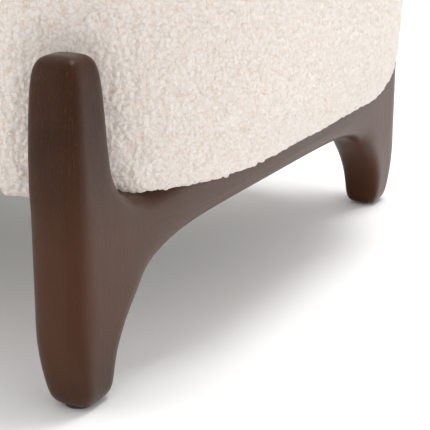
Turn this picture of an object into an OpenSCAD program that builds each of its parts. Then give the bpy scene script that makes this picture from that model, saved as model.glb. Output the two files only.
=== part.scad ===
// Two-seat sofa with sculpted wooden side frames, each made of two legs and a rail.
// +Z is up, the front faces -Y, and the origin is on the floor under the middle.

/* [Overall] */
// Width over the arms
sofa_w = 1800; // [1500:10:2200]
// Distance between the front and rear leg centres
leg_pitch = 800; // [740:5:860]
// Height of the top of the back
back_top = 745; // [700:5:800]
// Height of the top of the arms
arm_top = 590; // [560:5:640]

/* [Side frames] */
// Height of the rail's underside
rail_under = 136; // [125:1:150]
// Height of the upholstery's underside, which is the rail's top
body_under = 195; // [185:1:205]
// Width of the rail
rail_w = 61; // [56:1:66]
// Distance from the leg centre to the glue joint between leg and rail
joint_y = 100; // [90:1:130]
// Distance from the arm's outer side to the middle of the side frame
frame_inset = 105; // [95:1:115]

/* [Upholstery] */
// Thickness of each arm
arm_w = 210; // [200:5:230]
// Radius of the body's corners seen from above
corner_r = 262; // [200:1:280]
// How far the body's lower edge turns in
under_in = 34; // [20:1:45]
// Height over which the lower edge turns in
under_rise = 69; // [50:1:90]
// How far the body's front stands before the front legs' centres
front_over = 18; // [10:1:22]
// Top of the front band and of the seat deck
deck_top = 330; // [320:1:350]
// Thickness of a seat cushion
seat_t = 132; // [110:1:150]
// Thickness of a back cushion
back_t = 150; // [120:1:170]
// Height of a back cushion
back_h = 290; // [260:1:310]

/* [Hidden] */

// Depth: the legs' front faces and the raked top of the back set the two ends
leg_face = 38;
rear_end = 70;
sofa_d = leg_face + leg_pitch + rear_end;
leg_y0 = -sofa_d / 2 + leg_face;
leg_y1 = leg_y0 + leg_pitch;
leg_x = sofa_w / 2 - frame_inset;
body_y0 = leg_y0 - front_over;
body_y1 = leg_y1 + front_over;
top_y1 = sofa_d / 2;
rake = (top_y1 - body_y1) / (back_top - body_under);

// Shared clearances and small radii
gap = 0.4;
edge_r = 26;
loft_n = 9;
round_n = 6;

// Seat well between the arms
well_x = sofa_w / 2 - arm_w;
back_y = body_y1 - 150;
band_t = 130;
cushion_w = well_x - 1.5 * gap;
cushion_x = cushion_w / 2 + gap / 2;
seat_y0 = body_y0 + 6;
seat_top = deck_top + gap + seat_t;

// Carcass timbers
sill_x0 = leg_x - 38;
sill_x1 = leg_x + 14;
sill_h = 40;
board_t = 18;
timber_t = 30;
timber_h = 95;
timber_y0 = body_y0 + 100;
timber_y1 = body_y1 - 100 - timber_t;
timber_x = sill_x0 + 10;
spring_z = 312;
spring_r = 2;

// Fasteners
dowel_r = 5;
dowel_len = 60;
dowel_dx = 14;
dowel_z = (rail_under + body_under) / 2;
bolt_r = 4;
bolt_head_r = 6.5;
bolt_sink = 14;
bolt_top = body_under + 26;
insert_r = 6;
washer_r = 9;
washer_t = 1.6;
bolt_dy = 230;
bolt_x = (sill_x0 + sill_x1) / 2;

// Foot glides
glide_r = 13;
glide_t = 3;

// Zips
zip_w = 14;
zip_t = 1.2;
groove_h = 22;
groove_d = 8;
zip_len = cushion_w - 150;
slider_l = 12;
slider_w = 9;
slider_t = 3.5;

// ---------- shape helpers ----------

// Ring of points round a rectangle whose corners have their own radii
function ring(x0, x1, y0, y1, r, z, slope = 0) = [
    for (c = [0:3], k = [0:loft_n])
        let (
            rc = r[c],
            px = (c == 0 || c == 3) ? x0 + rc : x1 - rc,
            py = (c < 2) ? y0 + rc : y1 - rc,
            a = 180 + 90 * c + 90 * k / loft_n
        )
        [px + rc * cos(a), py + rc * sin(a) + (c < 2 ? 0 : slope), z]
];

// Ring drawn in by a distance on all sides
function inset_ring(b, r, d, z, slope = 0) =
    ring(b[0] + d, b[1] - d, b[2] + d, b[3] - d, [for (v = r) max(v - d, 1)], z, slope);

// Closed solid through a stack of rings with the same number of points
module loft(rings) {
    n = len(rings[0]);
    m = len(rings);
    polyhedron(
        points = [for (q = rings, p = q) p],
        faces = concat(
            [[for (i = [0:n - 1]) i]],
            [[for (i = [n - 1:-1:0]) (m - 1) * n + i]],
            [for (j = [0:m - 2], i = [0:n - 1]) let (k = (i + 1) % n)
                [j * n + i, (j + 1) * n + i, j * n + k]],
            [for (j = [0:m - 2], i = [0:n - 1]) let (k = (i + 1) % n)
                [(j + 1) * n + i, (j + 1) * n + k, j * n + k]]
        )
    );
}

// Levels of a rounded lower edge, as pairs of inset and height
function lower_levels(d, rise, z) =
    [for (k = [0:round_n]) let (a = 90 * k / round_n) [d * (1 - sin(a)), z + rise * (1 - cos(a))]];

// Levels of a rounded upper edge, as pairs of inset and height
function upper_levels(d, drop, z) =
    [for (k = [round_n:-1:0]) let (a = 90 * k / round_n) [d * (1 - sin(a)), z - drop * (1 - cos(a))]];

// Upholstered block with a rounded lower edge, a rounded top and an optional raked rear side
module soft_block(b, r, low, high, slope) {
    levels = concat(low, high);
    loft([for (v = levels) inset_ring(b, r, v[0], v[1], slope * (v[1] - low[0][1]))]);
}

// Box from one corner to the opposite one
module span(p, q) {
    translate(p) cube([q[0] - p[0], q[1] - p[1], q[2] - p[2]]);
}

module both_sides() {
    for (s = [-1, 1]) translate([s * leg_x, 0, 0]) children();
}

// ---------- wooden side frames ----------

// Leg column as heights, half widths and forward offsets of its rounded square section
leg_levels = [
    [2, 9, 0], [5, 17, 0], [13, 22.5, 0], [28, 25, -1], [60, 28, -2], [110, 30, -4],
    [160, 30.5, -5], [215, 30.5, -6], [260, 30, -6], [288, 29, -6], [308, 27.5, -6],
    [324, 25, -6], [334, 20.5, -6], [340, 13, -6], [342, 6, -6]
];

// Arch under the rail and the scoop behind the upright, seen from the side
arch_len = 172;
scoop_y = 80;
scoop_r = 52;
module leg_profile() {
    arch = [for (a = [8:8:56]) [arch_len + 8 - arch_len * cos(a), rail_under * sin(a)]];
    arch_end = acos((arch_len + 8 - joint_y) / arch_len);
    scoop = [for (a = [0:15:90]) [scoop_y - scoop_r * sin(a), body_under + scoop_r * (1 - cos(a))]];
    polygon(concat(
        [[-8, 40]], arch,
        [[joint_y, rail_under * sin(arch_end)], [joint_y, body_under]],
        scoop, [[-8, body_under + scoop_r]]
    ));
}

module dowels_at_joint(r, grow) {
    for (s = [-1, 1])
        translate([s * dowel_dx, joint_y, dowel_z])
            rotate([90, 0, 0]) cylinder(r = r, h = dowel_len + grow, center = true, $fn = 24);
}

module leg() {
    color("#3b2118")
    difference() {
        union() {
            loft([for (v = leg_levels) let (h = v[1])
                inset_ring([-h, h, v[2] - h, v[2] + h], [for (c = [0:3]) h * 0.6], 0, v[0])]);
            translate([-rail_w / 2, 0, 0]) rotate([90, 0, 90])
                linear_extrude(rail_w) leg_profile();
        }
        dowels_at_joint(dowel_r, 0);
        translate([0, 0, -1]) cylinder(r = glide_r, h = glide_t + 1, $fn = 32);
    }
}

module front_leg(side) translate([side * leg_x, leg_y0, 0]) leg();
module rear_leg(side) translate([side * leg_x, leg_y1, 0]) mirror([0, 1, 0]) leg();

rail_y0 = leg_y0 + joint_y;
rail_y1 = leg_y1 - joint_y;
rail_len = rail_y1 - rail_y0;

// Underside of the rail: it starts at the legs' arches and levels out
module rail_profile() {
    steps = [for (k = [0:6]) let (a = 56 + (90 - 56) * k / 6) a];
    arch = [for (a = steps) [arch_len + 8 - arch_len * cos(a) - joint_y, rail_under * sin(a)]];
    near = [for (p = arch) if (p[0] > 0.5) p];
    far = [for (k = [len(near) - 1:-1:0]) [rail_len - near[k][0], near[k][1]]];
    start = rail_under * sin(acos((arch_len + 8 - joint_y) / arch_len));
    polygon(concat(
        [[0, start]], near, far, [[rail_len, start], [rail_len, body_under], [0, body_under]]
    ));
}

module bolts_along(side) {
    for (y = [-bolt_dy, 0, bolt_dy])
        translate([side * bolt_x, (rail_y0 + rail_y1) / 2 + y, 0]) children();
}

module all_bolts() {
    for (s = [-1, 1]) bolts_along(s) children();
}

module side_rail(side) {
    color("#3f261b")
    difference() {
        translate([side * leg_x - rail_w / 2, rail_y0, 0]) rotate([90, 0, 90])
            linear_extrude(rail_w) rail_profile();
        translate([side * leg_x, leg_y0, 0]) dowels_at_joint(dowel_r, 0);
        translate([side * leg_x, leg_y1, 0]) mirror([0, 1, 0]) dowels_at_joint(dowel_r, 0);
        bolts_along(side) {
            translate([0, 0, rail_under - 10])
                cylinder(r = washer_r + 0.5, h = bolt_sink + 10, $fn = 32);
            translate([0, 0, rail_under]) cylinder(r = bolt_r + 0.4, h = 80, $fn = 32);
        }
    }
}

module rail_dowels() {
    color("burlywood") both_sides() {
        translate([0, leg_y0, 0]) dowels_at_joint(dowel_r, -2);
        translate([0, leg_y1, 0]) mirror([0, 1, 0]) dowels_at_joint(dowel_r, -2);
    }
}

module foot_glides() {
    color("dimgray") both_sides()
        for (y = [leg_y0, leg_y1]) translate([0, y, 0]) cylinder(r = glide_r, h = glide_t, $fn = 32);
}

// ---------- fasteners ----------

module frame_bolts() {
    head_z = rail_under + bolt_sink - washer_t - 5;
    color("silver") all_bolts() {
        translate([0, 0, head_z]) difference() {
            cylinder(r = bolt_head_r, h = 5, $fn = 32);
            translate([0, 0, -1]) cylinder(r = 2.9, h = 4, $fn = 6);
        }
        translate([0, 0, head_z + 5]) cylinder(r = bolt_r, h = bolt_top - head_z - 5, $fn = 32);
    }
}

module bolt_washers() {
    color("gainsboro") all_bolts()
        translate([0, 0, rail_under + bolt_sink - washer_t]) difference() {
            cylinder(r = washer_r, h = washer_t, $fn = 32);
            translate([0, 0, -1]) cylinder(r = bolt_r, h = washer_t + 2, $fn = 32);
        }
}

module threaded_inserts() {
    color("goldenrod") all_bolts()
        translate([0, 0, body_under]) difference() {
            cylinder(r = insert_r, h = 28, $fn = 32);
            translate([0, 0, -1]) cylinder(r = bolt_r, h = 40, $fn = 32);
        }
}

// ---------- carcass ----------

sill_y0 = timber_y0 + timber_t;
sill_y1 = timber_y1;

module sill_body(side) {
    x = side > 0 ? [sill_x0, sill_x1] : [-sill_x1, -sill_x0];
    span([x[0], sill_y0, body_under], [x[1], sill_y1, body_under + sill_h]);
}

module sill(side) {
    color("tan") difference() {
        sill_body(side);
        bolts_along(side)
            translate([0, 0, body_under - 1]) cylinder(r = insert_r, h = 29, $fn = 32);
    }
}

// The front and rear timbers run from one side frame to the other
module cross_timber(y) {
    color("tan")
        span([-timber_x, y, body_under], [timber_x, y + timber_t, body_under + timber_h]);
}

module front_timber() cross_timber(timber_y0);
module rear_timber() cross_timber(timber_y1);

joist_w = 40;
joist_x = [-well_x / 2, 0, well_x / 2];
module seat_joists() {
    color("tan") for (x = joist_x)
        span([x - joist_w / 2, sill_y0, body_under], [x + joist_w / 2, sill_y1, body_under + 70]);
}

block_s = 70;
module corner_blocks() {
    in_x = sill_x0;
    color("tan") for (sx = [-1, 1], e = [[sill_y0, 1], [sill_y1, -1]])
        translate([sx * in_x, e[0], body_under + 4])
            linear_extrude(30) polygon([[0, 0], [-sx * block_s, 0], [0, e[1] * block_s]]);
}

board_y0 = sill_y0 + 10;
board_y1 = sill_y1 - 10;
module arm_board(side) {
    color("wheat")
        span([side * leg_x - board_t / 2, board_y0, body_under + sill_h],
             [side * leg_x + board_t / 2, board_y1, arm_top - 50]);
}

// Upright posts of the back stand before the rear timber
post_x = [-well_x + 130, 0, well_x - 130];
module back_posts() {
    color("tan") for (x = post_x)
        span([x - 22, timber_y1, body_under + timber_h], [x + 22, timber_y1 + timber_t, back_top - 60]);
}

module back_board() {
    color("wheat")
        span([-well_x + 40, timber_y1 - 12, deck_top - 10], [well_x - 40, timber_y1, back_top - 60]);
}

// ---------- seat suspension ----------

spring_n = 10;
wave_n = 12;
spring_y0 = timber_y0 + timber_t / 2;
spring_y1 = timber_y1 + timber_t / 2;
wave = (spring_y1 - spring_y0) / wave_n;
spring_pitch = 2 * (well_x - 60) / (spring_n - 1);

// Flat zigzag of wire, drawn as the outline of one bent strip
module one_spring(x) {
    side_pts = function (d) [for (k = [0:wave_n])
        [x + (k % 2 == 0 ? -14 : 14) + d, spring_y0 + k * wave]];
    left = side_pts(-spring_r);
    right = side_pts(spring_r);
    translate([0, 0, spring_z - spring_r]) linear_extrude(2 * spring_r)
        polygon(concat(left, [for (k = [wave_n:-1:0]) right[k]]));
}

module seat_springs() {
    color("gray") for (k = [0:spring_n - 1]) one_spring(-well_x + 60 + k * spring_pitch);
}

clip_z = body_under + timber_h;
module spring_clips() {
    color("darkgray") for (k = [0:spring_n - 1], y = [timber_y0 + 10, timber_y1 + 10])
        let (x = -well_x + 60 + k * spring_pitch)
            span([x - 22, y, clip_z], [x + 22, y + 10, spring_z - spring_r]);
}

module deck_pad() {
    color("ivory")
        span([-well_x, body_y0 + band_t, spring_z + spring_r], [well_x, back_y, deck_top]);
}

module dust_cover() {
    in_x = leg_x - rail_w / 2 - 4;
    color("#222222") span([-in_x, body_y0 + 75, body_under - 1.5], [in_x, body_y1 - 75, body_under]);
}

// ---------- fixed upholstery ----------

// Points round the right arm seen from above: wide outer corners and small inner ones
inner_r = 20;
function arc_pts(cx, cy, r, a0, a1, z, slope) =
    [for (k = [0:loft_n]) let (a = a0 + (a1 - a0) * k / loft_n) [cx + r * cos(a), cy + r * sin(a) + slope, z]];
function arm_ring(d, d_in, z, slope) =
    let (
        r = corner_r - d,
        cx = sofa_w / 2 - corner_r,
        cy0 = body_y0 + corner_r,
        cy1 = body_y1 - corner_r,
        ix = well_x + d_in + inner_r,
        arc_end = acos((ix - cx) / r),
        dip = r * sin(arc_end)
    )
    concat(
        arc_pts(ix, cy0 - dip + inner_r, inner_r, 180, 245, z, 0),
        arc_pts(cx, cy0, r, 4 - arc_end, 0, z, 0),
        arc_pts(cx, cy1, r, 0, arc_end - 4, z, slope),
        arc_pts(ix, cy1 + dip - inner_r, inner_r, 115, 180, z, slope)
    );

arm_crown = 80;
module arm_block() {
    low = [for (v = lower_levels(under_in, under_rise, body_under)) [v[0], 0, v[1]]];
    high = [for (v = upper_levels(arm_crown, arm_crown, arm_top)) [v[0], v[0] * 0.8, v[1]]];
    loft([for (v = concat(low, high)) arm_ring(v[0], v[1], v[2], rake * (v[2] - body_under))]);
}

// Hollows that the timbers and the board fill
end_len = timber_t + block_s;
module arm(side) {
    z0 = body_under - 1;
    color("#e9e2d6") mirror([side > 0 ? 0 : 1, 0, 0]) difference() {
        arm_block();
        span([sill_x0, sill_y0, z0], [sill_x1, sill_y1, body_under + sill_h]);
        span([leg_x - board_t / 2, board_y0, z0], [leg_x + board_t / 2, board_y1, arm_top - 50]);
        span([well_x - 1, timber_y0, z0], [timber_x, timber_y0 + end_len, body_under + timber_h]);
        span([well_x - 1, timber_y1 + timber_t - end_len, z0],
             [timber_x, timber_y1 + timber_t, body_under + timber_h]);
    }
}

// The band wraps the front timber and the springs' front ends
band_hollow_top = spring_z + spring_r;
module front_band() {
    color("#e9e2d6") difference() {
        soft_block([-well_x, well_x, body_y0 + 12, body_y0 + band_t], [1, 1, 1, 1],
                   lower_levels(0.5, under_rise / 2, body_under), upper_levels(0.5, 10, deck_top), 0);
        span([-well_x - 1, timber_y0, body_under - 1],
             [well_x + 1, body_y0 + band_t + 1, band_hollow_top]);
    }
}

module back_pad() {
    color("#e9e2d6") difference() {
        soft_block([-well_x, well_x, back_y, body_y1], [1, 1, 1, 1],
                   lower_levels(0.5, under_rise / 2, body_under), upper_levels(44, 60, back_top), rake);
        span([-well_x - 1, back_y - 1, body_under - 1],
             [well_x + 1, timber_y1 + timber_t, band_hollow_top]);
        span([-well_x + 40, timber_y1 - 12, body_under],
             [well_x - 40, timber_y1 + timber_t, back_top - 60]);
    }
}

// ---------- loose cushions ----------

module seat_cushion(side) {
    x = side * cushion_x;
    b = [x - cushion_w / 2, x + cushion_w / 2, seat_y0, back_y - gap];
    color("#efe9de") difference() {
        soft_block(b, [edge_r, edge_r, edge_r, edge_r],
                   lower_levels(12, 24, deck_top + gap), upper_levels(20, 40, seat_top), 0);
        span([x - cushion_w, back_y - gap - groove_d, seat_top - 80],
             [x + cushion_w, back_y, seat_top - 80 + groove_h]);
    }
}

back_cush_y1 = back_y - gap;
module back_cushion(side) {
    x = side * cushion_x;
    b = [x - cushion_w / 2, x + cushion_w / 2, back_cush_y1 - back_t, back_cush_y1];
    z0 = seat_top + gap;
    color("#efe9de") difference() {
        soft_block(b, [50, 50, edge_r, edge_r],
                   lower_levels(30, 40, z0), upper_levels(45, 60, z0 + back_h), 0);
        span([x - cushion_w, back_cush_y1 - groove_d, z0 + 50],
             [x + cushion_w, back_cush_y1 + 1, z0 + 50 + groove_h]);
    }
}

// ---------- zips in the cushions' rear faces ----------

seat_zip_z = seat_top - 80 + groove_h / 2;
back_zip_z = seat_top + gap + 50 + groove_h / 2;
zip_y = back_y - gap - groove_d;

module zip(side, z) {
    color("#d8cfc0")
        span([side * cushion_x - zip_len / 2, zip_y, z - zip_w / 2],
             [side * cushion_x + zip_len / 2, zip_y + zip_t, z + zip_w / 2]);
}

module slider(side, z) {
    x = side * cushion_x - zip_len / 2 + 20;
    y = zip_y + zip_t + 0.2;
    color("silver") {
        span([x, y, z - slider_w / 2], [x + slider_l, y + slider_t, z + slider_w / 2]);
        span([x + slider_l, y + 1, z - 2.5], [x + slider_l + 20, y + 2.5, z + 2.5]);
    }
}

// ---------- nodes ----------

front_leg(-1);  // front_leg_left
front_leg(1);  // front_leg_right
rear_leg(-1);  // rear_leg_left
rear_leg(1);  // rear_leg_right
side_rail(-1);  // side_rail_left
side_rail(1);  // side_rail_right
rail_dowels();
foot_glides();
frame_bolts();
bolt_washers();
threaded_inserts();
sill(-1);  // sill_left
sill(1);  // sill_right
front_timber();
rear_timber();
seat_joists();
corner_blocks();
arm_board(-1);  // arm_board_left
arm_board(1);  // arm_board_right
back_board();
back_posts();
seat_springs();
spring_clips();
deck_pad();
dust_cover();
arm(-1);  // arm_left
arm(1);  // arm_right
front_band();
back_pad();
seat_cushion(-1);  // seat_cushion_left
seat_cushion(1);  // seat_cushion_right
back_cushion(-1);  // back_cushion_left
back_cushion(1);  // back_cushion_right
zip(-1, seat_zip_z);  // seat_zip_left
zip(1, seat_zip_z);  // seat_zip_right
zip(-1, back_zip_z);  // back_zip_left
zip(1, back_zip_z);  // back_zip_right
slider(-1, seat_zip_z);  // seat_slider_left
slider(1, seat_zip_z);  // seat_slider_right
slider(-1, back_zip_z);  // back_slider_left
slider(1, back_zip_z);  // back_slider_right
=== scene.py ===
"""Boucle sofa on sculpted walnut side frames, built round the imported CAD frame."""
import logging
import math
from dataclasses import dataclass
from enum import Enum
from typing import Callable, Iterable, Sequence

import bmesh
import bpy
import numpy as np
from mathutils import Matrix, Vector


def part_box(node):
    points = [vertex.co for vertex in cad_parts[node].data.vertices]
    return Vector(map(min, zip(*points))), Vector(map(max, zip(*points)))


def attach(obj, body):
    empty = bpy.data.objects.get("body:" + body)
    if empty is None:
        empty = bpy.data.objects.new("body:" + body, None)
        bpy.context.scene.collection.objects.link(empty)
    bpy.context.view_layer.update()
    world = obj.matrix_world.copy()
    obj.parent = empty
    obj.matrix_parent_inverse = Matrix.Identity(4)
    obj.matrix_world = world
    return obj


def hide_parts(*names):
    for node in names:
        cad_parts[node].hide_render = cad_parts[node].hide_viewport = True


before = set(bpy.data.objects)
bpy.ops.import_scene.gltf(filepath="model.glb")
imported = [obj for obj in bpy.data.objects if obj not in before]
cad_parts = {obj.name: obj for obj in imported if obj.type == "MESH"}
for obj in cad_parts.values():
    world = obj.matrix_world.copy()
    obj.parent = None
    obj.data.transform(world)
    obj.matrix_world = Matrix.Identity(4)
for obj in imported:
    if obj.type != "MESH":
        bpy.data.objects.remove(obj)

LOG = logging.getLogger("sofa")
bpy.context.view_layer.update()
BASE = "sofa_frame"
SIDES = ("left", "right")
# From a leg's centre to its outer face in the CAD model, and from that face to the body's rear
LEG_FACE = 0.038
REAR_OVER = 0.018


# ---- Small tools ----


def deselect_all() -> None:
    """Leave nothing selected."""
    for obj in bpy.context.selected_objects:
        obj.select_set(False)


def activate(obj: bpy.types.Object) -> None:
    """Make one object the only selected and active one.

    Args:
        obj: The object to work on.
    """
    deselect_all()
    obj.select_set(True)
    bpy.context.view_layer.objects.active = obj


def add_modifier(obj: bpy.types.Object, kind: str, **values: object) -> None:
    """Add a modifier, set its values and apply it.

    Args:
        obj: The object that takes it.
        kind: The modifier's type, such as SUBSURF.
        values: Its settings by name.
    """
    activate(obj)
    mod = obj.modifiers.new(kind.title(), kind)
    for name, value in values.items():
        setattr(mod, name, value)
    bpy.ops.object.modifier_apply(modifier=mod.name)


def shade_smooth(obj: bpy.types.Object) -> None:
    """Shade all of a mesh smooth."""
    obj.data.polygons.foreach_set("use_smooth", [True] * len(obj.data.polygons))


def get_points(obj: bpy.types.Object) -> np.ndarray:
    """Return a mesh's points as rows of x, y, z.

    Args:
        obj: The mesh object.

    Returns:
        The points, one row each.
    """
    co = np.empty(len(obj.data.vertices) * 3, np.float32)
    obj.data.vertices.foreach_get("co", co)
    return co.reshape(-1, 3)


def set_points(obj: bpy.types.Object, points: np.ndarray) -> None:
    """Write rows of x, y, z back to a mesh."""
    obj.data.vertices.foreach_set("co", np.asarray(points, np.float32).ravel())
    obj.data.update()


def get_normals(obj: bpy.types.Object) -> np.ndarray:
    """Return a mesh's vertex normals as rows.

    Args:
        obj: The mesh object.

    Returns:
        The normals, one row for each point.
    """
    no = np.empty(len(obj.data.vertices) * 3, np.float32)
    obj.data.vertex_normals.foreach_get("vector", no)
    return no.reshape(-1, 3)


def set_attribute(obj: bpy.types.Object, name: str, values: np.ndarray) -> None:
    """Store one number per point under a name that materials can read.

    Args:
        obj: The mesh object.
        name: The attribute's name.
        values: One number per point.
    """
    layer = obj.data.attributes.get(name) or obj.data.attributes.new(name, "FLOAT", "POINT")
    layer.data.foreach_set("value", np.asarray(values, np.float32))


def copy_mesh(obj: bpy.types.Object, name: str) -> bpy.types.Object:
    """Copy an object with a mesh of its own.

    Args:
        obj: The object to copy.
        name: The copy's name.

    Returns:
        The new object, linked to the scene.
    """
    made = obj.copy()
    made.data = obj.data.copy()
    made.name = name
    made.data.name = name
    bpy.context.scene.collection.objects.link(made)
    return made


def mirror_copy(obj: bpy.types.Object, name: str) -> bpy.types.Object:
    """Copy an object to the other side of the middle plane X = 0.

    Args:
        obj: The object to copy.
        name: The copy's name.

    Returns:
        The mirrored object, its faces pointing outwards.
    """
    made = copy_mesh(obj, name)
    set_points(made, get_points(made) * np.array([-1.0, 1.0, 1.0]))
    made.data.flip_normals()
    return made


def add_object(name: str, data: bpy.types.ID) -> bpy.types.Object:
    """Make an object for a mesh, light or camera.

    Args:
        name: The object's name.
        data: Its mesh, light or camera.

    Returns:
        The new object, linked to the scene.
    """
    made = bpy.data.objects.new(name, data)
    bpy.context.scene.collection.objects.link(made)
    return made


def mesh_object(name: str, points: Sequence, faces: Sequence) -> bpy.types.Object:
    """Make an object from points and faces.

    Args:
        name: The object's name.
        points: The mesh's points.
        faces: The mesh's faces as tuples of point numbers.

    Returns:
        The new object, with its faces pointing outwards.
    """
    mesh = bpy.data.meshes.new(name)
    mesh.from_pydata([tuple(p) for p in points], [], [tuple(f) for f in faces])
    made = add_object(name, mesh)
    bm = bmesh.new()
    bm.from_mesh(mesh)
    bmesh.ops.recalc_face_normals(bm, faces=bm.faces)
    bm.to_mesh(mesh)
    bm.free()
    return made


def make_block(name: str, centre: Vector, size: Sequence[float]) -> bpy.types.Object:
    """Add a box at its size and place, to be shaped further.

    Args:
        name: The object's name.
        centre: Its middle.
        size: Its three sides.

    Returns:
        The new object, active.
    """
    deselect_all()
    bpy.ops.mesh.primitive_cube_add(size=1.0)
    made = bpy.context.active_object
    made.name = name
    made.data.transform(Matrix.Translation(centre) @ Matrix.Diagonal((*size, 1.0)))
    return made


def loft(name: str, rings: Sequence[np.ndarray]) -> bpy.types.Object:
    """Skin a stack of rings that have the same number of points.

    Args:
        name: The object's name.
        rings: The rings, lowest first.

    Returns:
        A closed mesh object.
    """
    count = len(rings[0])
    points = np.concatenate(rings)
    last = (len(rings) - 1) * count
    faces: list[tuple[int, ...]] = [tuple(range(count)), tuple(last + i for i in range(count))]
    for j in range(len(rings) - 1):
        for i in range(count):
            k = (i + 1) % count
            faces.append((j * count + i, j * count + k, (j + 1) * count + k, (j + 1) * count + i))
    return mesh_object(name, points, faces)


def report(obj: bpy.types.Object) -> None:
    """Log one finished piece with its size in faces."""
    LOG.info("made %s, %d faces", obj.name, len(obj.data.polygons))


# ---- Patterns worked out on the mesh ----


def cell_random(cells: np.ndarray, seed: int) -> np.ndarray:
    """Give each whole-number cell three fixed random numbers.

    Args:
        cells: Rows of three whole numbers.
        seed: Chooses another set of numbers.

    Returns:
        Rows of three numbers from 0 to 1.
    """
    c = cells.astype(np.int64).astype(np.uint32)
    h = c[:, 0] * np.uint32(73856093) ^ c[:, 1] * np.uint32(19349663) ^ c[:, 2] * np.uint32(83492791)
    h = h ^ np.uint32(seed * 2654435 + 97)
    out = np.empty((len(c), 3), np.float32)
    for k in range(3):
        h = (h ^ (h >> np.uint32(15))) * np.uint32(2246822519)
        h = (h ^ (h >> np.uint32(13))) * np.uint32(3266489917)
        h = h ^ (h >> np.uint32(16))
        out[:, k] = (h & np.uint32(0xFFFFFF)).astype(np.float32) / float(0xFFFFFF)
    return out


def lumps(points: np.ndarray, size: float, seed: int) -> tuple[np.ndarray, np.ndarray, np.ndarray]:
    """Measure how points lie among scattered lump centres.

    Args:
        points: Rows of x, y, z in metres.
        size: Mean distance between lump centres in metres.
        seed: Chooses another scatter.

    Returns:
        Distance to the nearest and second nearest centre, in lump sizes, and a random number for the
        nearest lump.
    """
    p = points / size
    base = np.floor(p).astype(np.int64)
    near = np.full(len(p), 9.0, np.float32)
    second = np.full(len(p), 9.0, np.float32)
    tone = np.zeros(len(p), np.float32)
    for dx in (-1, 0, 1):
        for dy in (-1, 0, 1):
            for dz in (-1, 0, 1):
                cell = base + np.array([dx, dy, dz])
                rnd = cell_random(cell, seed)
                gap = np.linalg.norm(cell + 0.1 + 0.8 * rnd - p, axis=1).astype(np.float32)
                closer = gap < near
                second = np.where(closer, near, np.minimum(second, gap))
                tone = np.where(closer, rnd[:, 0] * 0.5 + rnd[:, 2] * 0.5, tone)
                near = np.where(closer, gap, near)
    return near, second, tone


def drift(points: np.ndarray, size: float, seed: int) -> np.ndarray:
    """Smooth random field with three channels.

    Args:
        points: Rows of x, y, z in metres.
        size: Size of the field's swells in metres.
        seed: Chooses another field.

    Returns:
        Rows of three numbers from -1 to 1.
    """
    p = points / size
    base = np.floor(p).astype(np.int64)
    f = (p - base).astype(np.float32)
    f = f * f * (3 - 2 * f)
    out = np.zeros((len(p), 3), np.float32)
    for dx in (0, 1):
        wx = f[:, 0] if dx else 1 - f[:, 0]
        for dy in (0, 1):
            wy = f[:, 1] if dy else 1 - f[:, 1]
            for dz in (0, 1):
                wz = f[:, 2] if dz else 1 - f[:, 2]
                rnd = cell_random(base + np.array([dx, dy, dz]), seed)
                out += (wx * wy * wz)[:, None] * (2 * rnd - 1)
    return out


# ---- Shader node helpers ----


def preset(node: bpy.types.Node, values: dict[str, object]) -> None:
    """Set plain values on a node's own sockets.

    Args:
        node: The node.
        values: The values by socket name.
    """
    for name, value in values.items():
        node.inputs[name].default_value = value


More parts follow.
